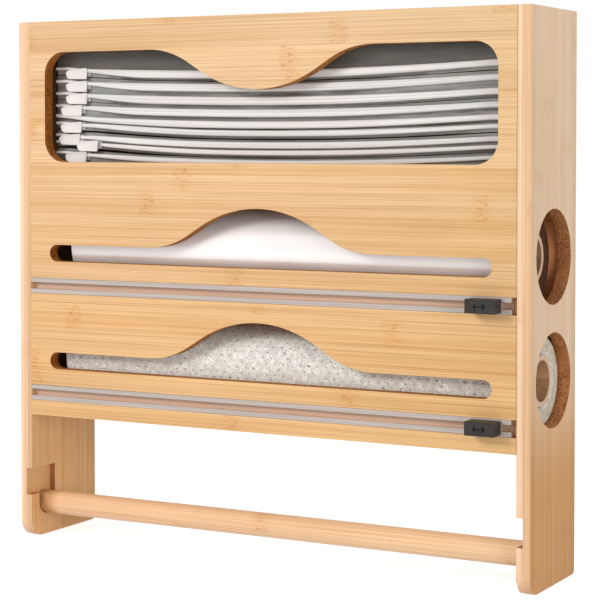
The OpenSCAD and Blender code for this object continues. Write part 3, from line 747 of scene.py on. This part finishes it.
class ROLLHOLDER_OT_boards(bpy.types.Operator):
    """Dresses the bamboo panels and boards"""
    bl_idname = "roll_holder.boards"
    bl_label = "Boards"

    joint_width = 0.9 * MM
    right_shade_width = 150 * MM
    foot_below = 25 * MM
    foot_above = 60 * MM

    def execute(self, context):
        tones = colours()
        # Cut walls that face along the grain get the darker end tone: browned end grain with painted shade.
        cut = cut_bamboo("browned_cut", tones.cut_end_shaded, tones.cut_long, "X", dots_per_metre=480.0)
        port = cut_bamboo("browned_port", tones.port_end, tones.port_long, "Z", dots_per_metre=700.0)
        self.front(cut)
        self.side("left", tones.left_side, tones.left_foot_shaded, port)
        self.side("right", tones.right_side, tones.right_foot_shaded, port)
        self.levels(cut)
        self.back(cut)
        return {"FINISHED"}

    def front(self, cut):
        low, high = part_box("front_panel")
        # The front grows a little darker over its right 150 mm: painted shade.
        wood = bamboo("front_bamboo", colours().front, "X", "Z", seed=0.3, band=0.85,
                      fade=("Z", low.z, high.z, colours().front_low),
                      tints=(("X", high.x, high.x - self.joint_width, JOINT_TINT),
                             ("X", high.x, high.x - self.right_shade_width, RIGHT_SHADE_TINT)))
        self.board("front_board", "front_panel", "Y", sizes().board_edge, (wood, cut, wood), "bamboo_front")

    def side(self, hand, tone, foot_shade_tone, port):
        """A side panel, with painted shade and warm bounce light at its leg, and a painted highlight on the
        left of its narrow edges.
        """
        panel = f"{hand}_side_panel"
        low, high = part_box(panel)
        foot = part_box("front_panel")[0].z
        # Towards the leg the panel fades to its foot tone: painted shade and warm bounce light.
        wood = bamboo(f"{hand}_bamboo", tone, "Z", "Y", seed=0.6, band=0.3, marks=0.6,
                      fade=("Z", foot - self.foot_below, foot + self.foot_above, foot_shade_tone))
        edge = bamboo(f"{hand}_edge_bamboo", colours().edge, "Z", "X", seed=0.2, band=0.2, marks=0.6,
                      fade=("X", low.x, high.x, colours().edge_lit))
        self.board(f"{hand}_side_board", panel, "X", sizes().side_edge, (wood, port, edge), "bamboo_side")

    def levels(self, cut):
        """The four boards that lie between the side panels."""
        outer = bamboo("outer_bamboo", colours().front, "X", "Y", seed=0.1)
        # Boards and faces inside the case take the darker inner tone: painted shade.
        inner = bamboo("inner_shaded_bamboo", colours().inner, "X", "Y", seed=0.1)
        for level, inward in (("top_panel", -1), ("bottom_panel", 1)):
            self.board(f"{level}_board", level, "Z", sizes().board_edge, (outer, cut, outer, inner),
                       "bamboo_board", Vector((0, 0, inward)))
        for level in ("bag_shelf", "roll_divider"):
            self.board(f"{level}_board", level, "Z", sizes().board_edge, (inner, cut, inner), "bamboo_board")

    def back(self, cut):
        wood = bamboo("back_bamboo", colours().back, "X", "Z", seed=0.8)
        # The back panel's inside face takes the painted-shade inner tone, lightened by 1.8.
        inside = bamboo("back_inside", shade(colours().inner, 1.8), "X", "Z", seed=0.8)
        self.board("back_board", "back_panel", "Y", sizes().board_edge, (wood, cut, wood, inside),
                   "bamboo_board", Vector((0, -1, 0)))

    def board(self, name, cad_node, thickness_axis, radius, materials, slot, inward=None):
        """Dresses one board; the face that looks inward, if any, gets the fourth material."""
        bm = softened(cad_node, radius)
        sort_faces(bm, *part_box(cad_node), thickness_axis)
        for face in bm.faces:
            if inward and face.normal.dot(inward) > INWARD_SLOPE:
                face.material_index = INWARD_FACE
        finish_piece(name, bm, materials, "holder", [cad_node])


class ROLLHOLDER_OT_fixings(bpy.types.Operator):
    """Finishes the dowels, screws and hanger plates"""
    bl_idname = "roll_holder.fixings"
    bl_label = "Fixings"

    def execute(self, context):
        peg = bamboo("peg_wood", colours().back, "X", "Z", seed=0.4)
        for level in ("top_panel", "bag_shelf", "roll_divider", "bottom_panel"):
            refinish(f"{level}_dowels", peg)
        plate = steel("zinc_plate", colours().zinc, rough=0.32)
        for name in ("left_hanger_plate", "right_hanger_plate"):
            refinish(name, plate)
        screw = steel("screw_steel", shade(colours().zinc, 0.7), rough=0.26)
        for name in ("back_panel_screws", "hanger_plate_screws"):
            refinish(name, screw)
        return {"FINISHED"}


class ROLLHOLDER_OT_cutters(bpy.types.Operator):
    """Dresses the cutter tracks, caps, runners and blades"""
    bl_idname = "roll_holder.cutters"
    bl_label = "Cutters"

    arrow_relief = 0.2 * MM
    lip_depth = 1.6 * MM
    track_edge = 0.12 * MM
    runner_tone = (0.55, 0.55, 0.54)
    blade_tone = (0.72, 0.72, 0.73)

    def execute(self, context):
        lip = frosted("track_lip", colours().track, clear=0.1)
        floor = frosted("track_floor", colours().track_floor, clear=0.0)
        grip = moulded("cap_plastic", colours().cap, grain=2600.0, rough=0.5, subtle=0.2, specular=0.25)
        arrow = moulded("arrow_plastic", shade(colours().cap, 0.25), grain=2600.0, rough=0.7, subtle=0.2,
                        specular=0.1)
        runner = moulded("runner_plastic", self.runner_tone, grain=1800.0, rough=0.45)
        blade = steel("blade_steel", self.blade_tone, rough=0.22)
        for row in ROWS:
            self.track(row, lip, floor)
            self.cap(row, grip, arrow)
            refinish(f"{row}_cutter_runner", runner)
            refinish(f"{row}_cutter_blade", blade)
        return {"FINISHED"}

    def cap(self, row, grip, arrow):
        """The cap; the arrow raised on its front gets the second material."""
        name = f"{row}_cutter_cap"
        arrow_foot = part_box(name)[0].y + self.arrow_relief
        bm = softened(name, sizes().cap_edge, segments=2)
        for face in bm.faces:
            face.material_index = int(face.calc_center_median().y < arrow_foot)
        finish_piece(f"{row}_cutter_grip", bm, [grip, arrow], f"{row}_cutter", [name])

    def track(self, row, lip, floor):
        """The track; what lies behind its lips gets the second material."""
        name = f"{row}_cutter_track"
        lip_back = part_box(name)[0].y + self.lip_depth
        bm = softened(name, self.track_edge, segments=1)
        for face in bm.faces:
            face.material_index = int(face.calc_center_median().y > lip_back)
        finish_piece(f"{row}_track_rail", bm, [lip, floor], "holder", [name])


class ROLLHOLDER_OT_towel_rod(bpy.types.Operator):
    """Turns the bamboo towel rod with its rounded ends"""
    bl_idname = "roll_holder.towel_rod"
    bl_label = "Towel rod"

    rim_radius = 1.2 * MM
    rim_angle = math.radians(60)
    shaded_from = 8 * MM
    shaded_to = 18 * MM

    def execute(self, context):
        lo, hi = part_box("towel_rod")
        axis = middle("towel_rod")
        bm = tube_blank(sides=64, rings=24)
        for corner in bm.verts:
            corner.co = (lo.x + (hi.x - lo.x) * corner.co.x,
                         axis.y + corner.co.y * (hi.y - lo.y) / 2,
                         axis.z + corner.co.z * (hi.z - lo.z) / 2)
        rims = [edge for edge in bm.edges if edge.calc_face_angle(0) > self.rim_angle]
        round_edges(bm, rims, self.rim_radius, segments=4)
        # The rod fades to a lighter tone at its right, painted light, and darkens near its left end, a
        # painted shadow of the left leg.
        wood = bamboo("rod_bamboo", colours().rod_lit, "X", "Z", seed=0.45, polish=0.18,
                      fade=("X", lo.x, hi.x, colours().rod),
                      tints=[("X", lo.x + self.shaded_from, lo.x + self.shaded_to, ROD_END_SHADOW_TINT)])
        finish_piece("turned_rod", bm, [wood], "towel_rod", ["towel_rod"],
                     smooth_angle=math.radians(40))
        return {"FINISHED"}


class ROLLHOLDER_OT_film_roll(bpy.types.Operator):
    """Winds the roll of film with its loose last lap, and finishes its core"""
    bl_idname = "roll_holder.film_roll"
    bl_label = "Film roll"

    end_steps = (0.2, 0.0, 0.5, 0.1, 0.4, 0.2, 0.6, 0.1, 0.3)
    step_slope = 0.15 * MM
    skin = 0.2 * MM
    lap_margin = 0.8 * MM
    lap_turn = math.radians(300)
    free_edge = math.radians(12.3)

    def execute(self, context):
        lo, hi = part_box("film_roll")
        axis = middle("film_roll")
        bore = half_height("film_core") + CORE_PLAY
        outer = half_height("film_roll") - sizes().film_lap
        bm = lathe(self.outline(lo.x, hi.x, bore, outer), axis, steps=128)
        for face in bm.faces:
            arm = face.calc_center_median() - axis
            face.material_index = 1 if math.hypot(arm.y, arm.z) > outer - self.skin else 2
        self.add_lap(bm, lo.x + self.lap_margin, hi.x - self.lap_margin, outer, axis)
        # The bare winding under the lap's free edge takes the darker film: painted shade on the roll's
        # underside.
        films = (wound_film("film_lap", colours().film, axis, rough=0.34, mirror=0.25),
                 wound_film("film_winding", colours().film_under_shaded, axis, rough=0.42, mirror=0.45),
                 wound_film("film_end", colours().film_end, axis, rough=0.7, mirror=0.1))
        finish_piece("film_winding", bm, films, "film_roll", ["film_roll"],
                     smooth_angle=math.radians(35))
        refinish("film_core", cardboard("film_core_board", colours().core, colours().core_end, axis))
        return {"FINISHED"}

    def outline(self, start, end, bore, outer):
        """Half section of the winding: its ends step a little from lap to lap."""
        laps = len(self.end_steps)
        radii = [bore + (outer - bore) * lap / laps for lap in range(laps + 1)]
        right = []
        left = []
        for lap, step in enumerate(self.end_steps):
            for radius in (radii[lap] + self.step_slope * (lap > 0), radii[lap + 1]):
                right.append((end - step * MM, radius))
                left.append((start + step * MM, radius))
        return right + left[::-1]

    def add_lap(self, bm, start, end, outer, axis):
        """A thin sheet over most of the roll, whose free edge lies low at the front."""
        lap = bmesh.new()
        corners = [lap.verts.new((along, axis.y - outer, axis.z)) for along in (start, end)]
        edge = lap.edges.new(corners)
        bmesh.ops.rotate(lap, verts=lap.verts, cent=axis, matrix=Matrix.Rotation(self.free_edge, 3, "X"))
        bmesh.ops.spin(lap, geom=corners + [edge], cent=axis, axis=(1, 0, 0), angle=-self.lap_turn, steps=110)
        bmesh.ops.recalc_face_normals(lap, faces=lap.faces)
        first = lap.faces[:][0]
        if first.normal.dot(first.calc_center_median() - axis) < 0:
            bmesh.ops.reverse_faces(lap, faces=lap.faces)
        bmesh.ops.solidify(lap, geom=lap.faces, thickness=-sizes().film_lap)
        mesh = bpy.data.meshes.new("lap")
        lap.to_mesh(mesh)
        lap.free()
        bm.from_mesh(mesh)
        bpy.data.meshes.remove(mesh)


class ROLLHOLDER_OT_wipe_roll(bpy.types.Operator):
    """Winds the roll of embossed wipes and dresses its core"""
    bl_idname = "roll_holder.wipe_roll"
    bl_label = "Wipe roll"

    columns = 54
    rows = 48
    proud = 2.2 * MM
    lap_shares = (0.9, 0.73, 0.55, 0.37, 0.19)
    right_step = 0.4 * MM
    left_step = 0.5 * MM
    skin = 0.01 * MM
    uneven_depth = 0.35
    uneven_scale = 900
    pit_value = 0.85
    pit_spread = 0.4
    pit_scale = 500
    core_edge = 0.1 * MM
    core_end_zone = 1 * MM

    def execute(self, context):
        lo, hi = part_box("wipe_roll")
        axis = middle("wipe_roll")
        bore = half_height("wipe_core") + CORE_PLAY
        outer = half_height("wipe_roll")
        bm = lathe(self.outline(lo.x, hi.x, bore, outer), axis, steps=2 * self.rows)
        self.emboss(bm, lo.x, hi.x, outer, axis)
        cloth = fleece("fleece", colours().wipe)
        piece = finish_piece("wipe_winding", bm, [cloth], "wipe_roll", ["wipe_roll"],
                             smooth_angle=math.radians(60))
        rounding = piece.modifiers.new("rounding", "SUBSURF")
        rounding.levels = 1
        rounding.render_levels = 1
        self.core(cardboard("wipe_core_board", shade(colours().core, 1.4), colours().core_end, axis))
        return {"FINISHED"}

    def core(self, board):
        """The core, which stands out with its winding."""
        bm = softened("wipe_core", self.core_edge, segments=1)
        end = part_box("wipe_core")[1].x - self.core_end_zone
        bmesh.ops.translate(bm, verts=[corner for corner in bm.verts if corner.co.x > end],
                            vec=(self.proud, 0, 0))
        finish_piece("wipe_core_tube", bm, [board], "wipe_core", ["wipe_core"],
                     smooth_angle=math.radians(40))

    def outline(self, start, end, bore, outer):
        """Half section: the outer face in short lengths, the ends in a few soft laps.

        The laps are wound loosely and stand out at the right end."""
        length_of_one = (end - start) / (2 * self.columns)
        face = [(start + length_of_one * index, outer) for index in range(2 * self.columns + 1)]
        far = end + self.proud
        right = [(far - self.right_step * (index % 2), bore + (outer - bore) * share)
                 for index, share in enumerate(self.lap_shares)]
        left = [(start + self.left_step * (index % 2), radius) for index, (_, radius) in enumerate(right)]
        rim = (far - self.right_step, outer - self.right_step)
        return face + [rim] + right + [(end + self.proud / 2, bore), (start, bore)] + left[::-1]

    def emboss(self, bm, start, end, outer, axis):
        """Sinks every second point of every second row, staggered, and marks it as a pit."""
        pit = bm.verts.layers.float.new("pit")
        for corner in bm.verts:
            arm = Vector((0, corner.co.y - axis.y, corner.co.z - axis.z))
            if arm.length < outer - self.skin:
                continue
            ring = round((corner.co.x - start) / (end - start) * 2 * self.columns)
            step = round(math.atan2(arm.z, arm.y) / FULL_TURN * 2 * self.rows)
            depth = self.uneven_depth * (1 + noise.noise(corner.co * self.uneven_scale))
            if step % 2 == 0 and (ring + step // 2) % 2 == 0 and 0 < ring < 2 * self.columns:
                corner[pit] = self.pit_value + self.pit_spread * noise.noise(corner.co * self.pit_scale)
                depth += corner[pit]
            corner.co -= arm.normalized() * sizes().pit_depth * depth


# Where the tail of a zip band ends, how high it lifts, and where the leaf-shaped part follows
Tail = namedtuple("Tail", "end lift lift_end leaf_start leaf_length")


class ROLLHOLDER_OT_zip_bags(bpy.types.Operator):
    """Lays the pile of zip bags, with their bands, folded film and sliders"""
    bl_idname = "roll_holder.zip_bags"
    bl_label = "Zip bags"

    # Pile
    sag = 3.7 * MM
    sag_middle = 10 * MM
    half_span = 140 * MM
    left_rises = (-0.3, -0.3, 0.3, 0.5, 1.0, 2.6, 1.7, 2.9, 1.8)
    right_rises = (0.2, 0.1, 0.5, 0.7, 1.1, 1.3, 0.9, 1.6, 1.5)
    rises_change = (-130 * MM, -40 * MM)
    shelf_gap = 0.2 * MM

    # Zip bands
    band_heights = (5.2, 5.0, 5.2, 4.8, 4.5, 3.7, 4.1, 3.2, 3.6)
    tail_start = 1.2 * MM
    tail_height = 2.0 * MM
    tail_lift = 1.7 * MM
    free_lift = 2.4 * MM
    free_run = 32 * MM
    leaf_height = 2.4 * MM
    leaf_length = 42 * MM
    leaf_power = 1.4
    free_leaf_length = 100 * MM
    leaf_offset = 18.0 * MM
    thin_lift = 0.4
    right_end_share = 0.76
    right_end = (40 * MM, 150 * MM)
    band_depth = 2.0 * MM
    band_power = 0.6

    # Folded film
    film_depth = 38 * MM
    film_margin = 0.05 * MM
    film_start = 0.1 * MM
    neck_share = 0.12
    bulge_power = 0.5
    ripple_share = 0.06
    ripple_along = 22
    ripple_rear = 1.6
    ripple_bag = 3.1

    # Sliders
    slider_offset = 1.2 * MM
    slider_drop = 0.6 * MM
    proud_slider = 8
    proud_shift = Vector((-1.7 * MM, -1.0 * MM, 0.0))
    flap_outline = ((0.0, 1.1), (0.5, -1.4), (1.5, -2.9), (3.0, -3.5), (16.0, -3.7), (16.7, 2.9), (15.8, 3.6),
                    (4.4, 2.9), (1.8, 2.3))
    flap_depth = 1.3 * MM
    flap_radius = 0.3 * MM
    flap_rim_angle = math.radians(20)
    frame_width = 0.6 * MM
    frame_depth = 0.3 * MM
    shoe_low = Vector((3 * MM, 1.8 * MM, -2.0 * MM))
    shoe_end = 18.2 * MM
    shoe_top = 3.4 * MM
    shoe_radius = 0.5 * MM

    def execute(self, context):
        tone = colours().zip_band
        band = plied("zip_band", tone, rough=0.42)
        film = crumpled_film("bag_film", colours().bag_film)
        # The darker film for the top bag's upper folds is painted shade.
        loose = crumpled_film("shaded_top_film", colours().shaded_top_film)
        clip = moulded("slider_plastic", shade(tone, 1.04), grain=1500.0, rough=0.38, subtle=0.03)
        # The shoe takes a grey copy of the slider plastic: painted shade behind the flap.
        shaded_shoe = moulded("slider_shoe_shaded", shade(tone, 0.55), grain=1500.0, rough=0.45, subtle=0.05)
        shelf_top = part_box("bag_shelf")[1].z
        for number in range(1, BAG_COUNT + 1):
            clip_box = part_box(f"zip_slider_{number}")
            self.bag(number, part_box(f"zip_bag_{number}"), clip_box, shelf_top,
                     (band, film, loose if number == 1 else film))
            self.slider(number, clip_box, (clip, shaded_shoe))
        return {"FINISHED"}

    def bag(self, number, bag_box, clip_box, shelf_top, materials):
        """One bag: a zip band along its front, and the folded film behind it."""
        lo, hi = bag_box
        start = lo.x + self.tail_start
        bead = (clip_box[0] + clip_box[1]) / 2
        tail = self.tail(start, clip_box)
        full = self.band_heights[number - 1] * MM
        room = (bead.z - lo.z - self.film_margin, hi.z - bead.z - self.film_margin)
        bm = tube_blank(sides=48, rings=110)
        ply = bm.verts.layers.float.new("ply")
        for corner in bm.verts:
            along = start + (hi.x - start) * corner.co.x
            rear, side = corner.co.y, corner.co.z
            corner[ply] = side
            height = self.height_at(along, tail, full)
            level = bead.z + self.drop_at(number, along) + self.thin_lift * (full - height)
            level += tail.lift * (1 - smooth_step(along, tail.end, tail.lift_end))
            if rear < 0:
                depth = bead.y - self.band_depth * abs(rear) ** self.band_power
                lift = math.copysign(abs(side) ** self.band_power, side) * height / 2
            else:
                depth = bead.y + self.film_depth * rear ** 2
                lift = self.film_lift(number, along, rear, side, height, room)
            corner.co = (along, depth, max(level + lift, shelf_top + self.shelf_gap))
        bm.normal_update()
        # Film faces behind the band: downward faces take the bag film, upward faces the third material, which
        # for the top bag is painted shade.
        for face in bm.faces:
            if face.calc_center_median().y > bead.y + self.film_start:
                face.material_index = 2 if face.normal.z > 0 else 1
        finish_piece(f"bag_{number}", bm, materials, "holder", [f"zip_bag_{number}"],
                     smooth_angle=math.radians(70))

    def tail(self, start, clip_box):
        """The band's thin lifted tail: it ends at a slider on the left, or it is the bag's free end."""
        if clip_box[1].x < 0:
            end = clip_box[0].x
            leaf_start = end + self.leaf_offset
            return Tail(end, self.tail_lift, leaf_start, leaf_start, self.leaf_length)
        return Tail(start, self.free_lift, start + self.free_run, start, self.free_leaf_length)

    def height_at(self, along, tail, full):
        """Height of the zip band: a thin tail, a leaf-shaped start behind the slider, then full."""
        if along < tail.leaf_start:
            return self.tail_height
        share = min(1.0, (along - tail.leaf_start) / tail.leaf_length)
        leaf = self.leaf_height + (full - self.leaf_height) * (1 - (1 - share) ** self.leaf_power)
        return leaf * (1 - (1 - self.right_end_share) * smooth_step(along, *self.right_end))

    def drop_at(self, number, along):
        """How far a bag lies off its place in the frame: the pile sags between its ends."""
        share = min(1.0, abs(along - self.sag_middle) / self.half_span)
        to_right = smooth_step(along, *self.rises_change)
        left, right = self.left_rises[number - 1] * MM, self.right_rises[number - 1] * MM
        return left + (right - left) * to_right - self.sag * (1 - share * share)

    def film_lift(self, number, along, rear, side, height, room):
        """Height of the film above or below the band: a neck, then the folds in their room."""
        spot = Vector((along * self.ripple_along, rear * self.ripple_rear, number * self.ripple_bag))
        swell = 1.0 + self.ripple_share * noise.noise(spot)
        neck = smooth_step(rear, 0.0, self.neck_share)
        bulge = room[1 if side > 0 else 0] * abs(side) ** self.bulge_power * swell
        return math.copysign(height / 2 * (1 - neck) + bulge * neck, side)

    def slider(self, number, clip_box, materials):
        """The slider at the end of a bag's zip; one of the pile hangs a little proud."""
        lo, hi = clip_box
        middle_z = (lo.z + hi.z) / 2 + self.drop_at(number, lo.x) - self.slider_drop
        corner = Vector((lo.x + self.slider_offset, lo.y, middle_z))
        if number == self.proud_slider:
            corner += self.proud_shift
        bm = bmesh.new()
        self.shaded_shoe(bm, corner + self.shoe_low,
                  Vector((corner.x + self.shoe_end, hi.y, corner.z + self.shoe_top)))
        self.flap(bm, corner)
        finish_piece(f"slider_{number}", bm, materials, "holder",
                     [f"zip_slider_{number}"], smooth_angle=math.radians(40))

    def flap(self, bm, corner):
        """The front flap: slanted ends, and a shallow frame on its face."""
        outline = [bm.verts.new(corner + Vector((x * MM, 0, z * MM))) for x, z in self.flap_outline]
        face = bm.faces.new(outline)
        swept = bmesh.ops.extrude_face_region(bm, geom=[face])["geom"]
        rear = [item for item in swept if isinstance(item, bmesh.types.BMVert)]
        bmesh.ops.translate(bm, verts=rear, vec=(0, self.flap_depth, 0))
        body = {one for vert in outline + rear for one in vert.link_faces}
        bmesh.ops.recalc_face_normals(bm, faces=list(body))
        rims = {edge for one in body for edge in one.edges if edge.calc_face_angle(0) > self.flap_rim_angle}
        round_edges(bm, list(rims), self.flap_radius, segments=3)
        front = min((one for one in bm.faces if one.material_index == 0), key=lambda one: one.normal.y)
        bmesh.ops.inset_region(bm, faces=[front], thickness=self.frame_width, depth=-self.frame_depth)

    def shaded_shoe(self, bm, low, high):
        """The part behind the flap that spreads and closes the band; all its faces take the second material,
        the painted-shade grey plastic.
        """
        fit = Matrix.Translation((low + high) / 2) @ Matrix.Diagonal((*(high - low), 1))
        bmesh.ops.create_cube(bm, size=1, matrix=fit)
        round_edges(bm, bm.edges[:], self.shoe_radius, segments=3)
        for face in bm.faces:
            face.material_index = 1


class ROLLHOLDER_PT_panel(bpy.types.Panel):
    """Lists the steps that dress the roll holder"""
    bl_idname = "ROLLHOLDER_PT_panel"
    bl_label = "Roll Holder"
    bl_space_type = "VIEW_3D"
    bl_region_type = "UI"
    bl_category = "Roll Holder"

    def draw(self, context):
        scene = context.scene
        for group in (scene.roll_holder_sizes, scene.roll_holder_colours, scene.roll_holder_stage):
            box = self.layout.box()
            for name in group.__annotations__:
                box.prop(group, name)
        for step in STEPS:
            self.layout.operator(step.bl_idname)


STEPS = (
    ROLLHOLDER_OT_stage,
    ROLLHOLDER_OT_boards,
    ROLLHOLDER_OT_fixings,
    ROLLHOLDER_OT_cutters,
    ROLLHOLDER_OT_towel_rod,
    ROLLHOLDER_OT_film_roll,
    ROLLHOLDER_OT_wipe_roll,
    ROLLHOLDER_OT_zip_bags,
)
GROUPS = {
    "roll_holder_sizes": RollHolderSizes,
    "roll_holder_colours": RollHolderColours,
    "roll_holder_stage": RollHolderStage,
}


def register():
    for name, group in GROUPS.items():
        bpy.utils.register_class(group)
        setattr(bpy.types.Scene, name, bpy.props.PointerProperty(type=group))
    for step in (*STEPS, ROLLHOLDER_PT_panel):
        bpy.utils.register_class(step)


def unregister():
    for step in (ROLLHOLDER_PT_panel, *reversed(STEPS)):
        bpy.utils.unregister_class(step)
    for name, group in GROUPS.items():
        delattr(bpy.types.Scene, name)
        bpy.utils.unregister_class(group)


def main():
    register()
    for step in STEPS:
        family, name = step.bl_idname.split(".")
        getattr(getattr(bpy.ops, family), name)()


if __name__ == "__main__":
    main()
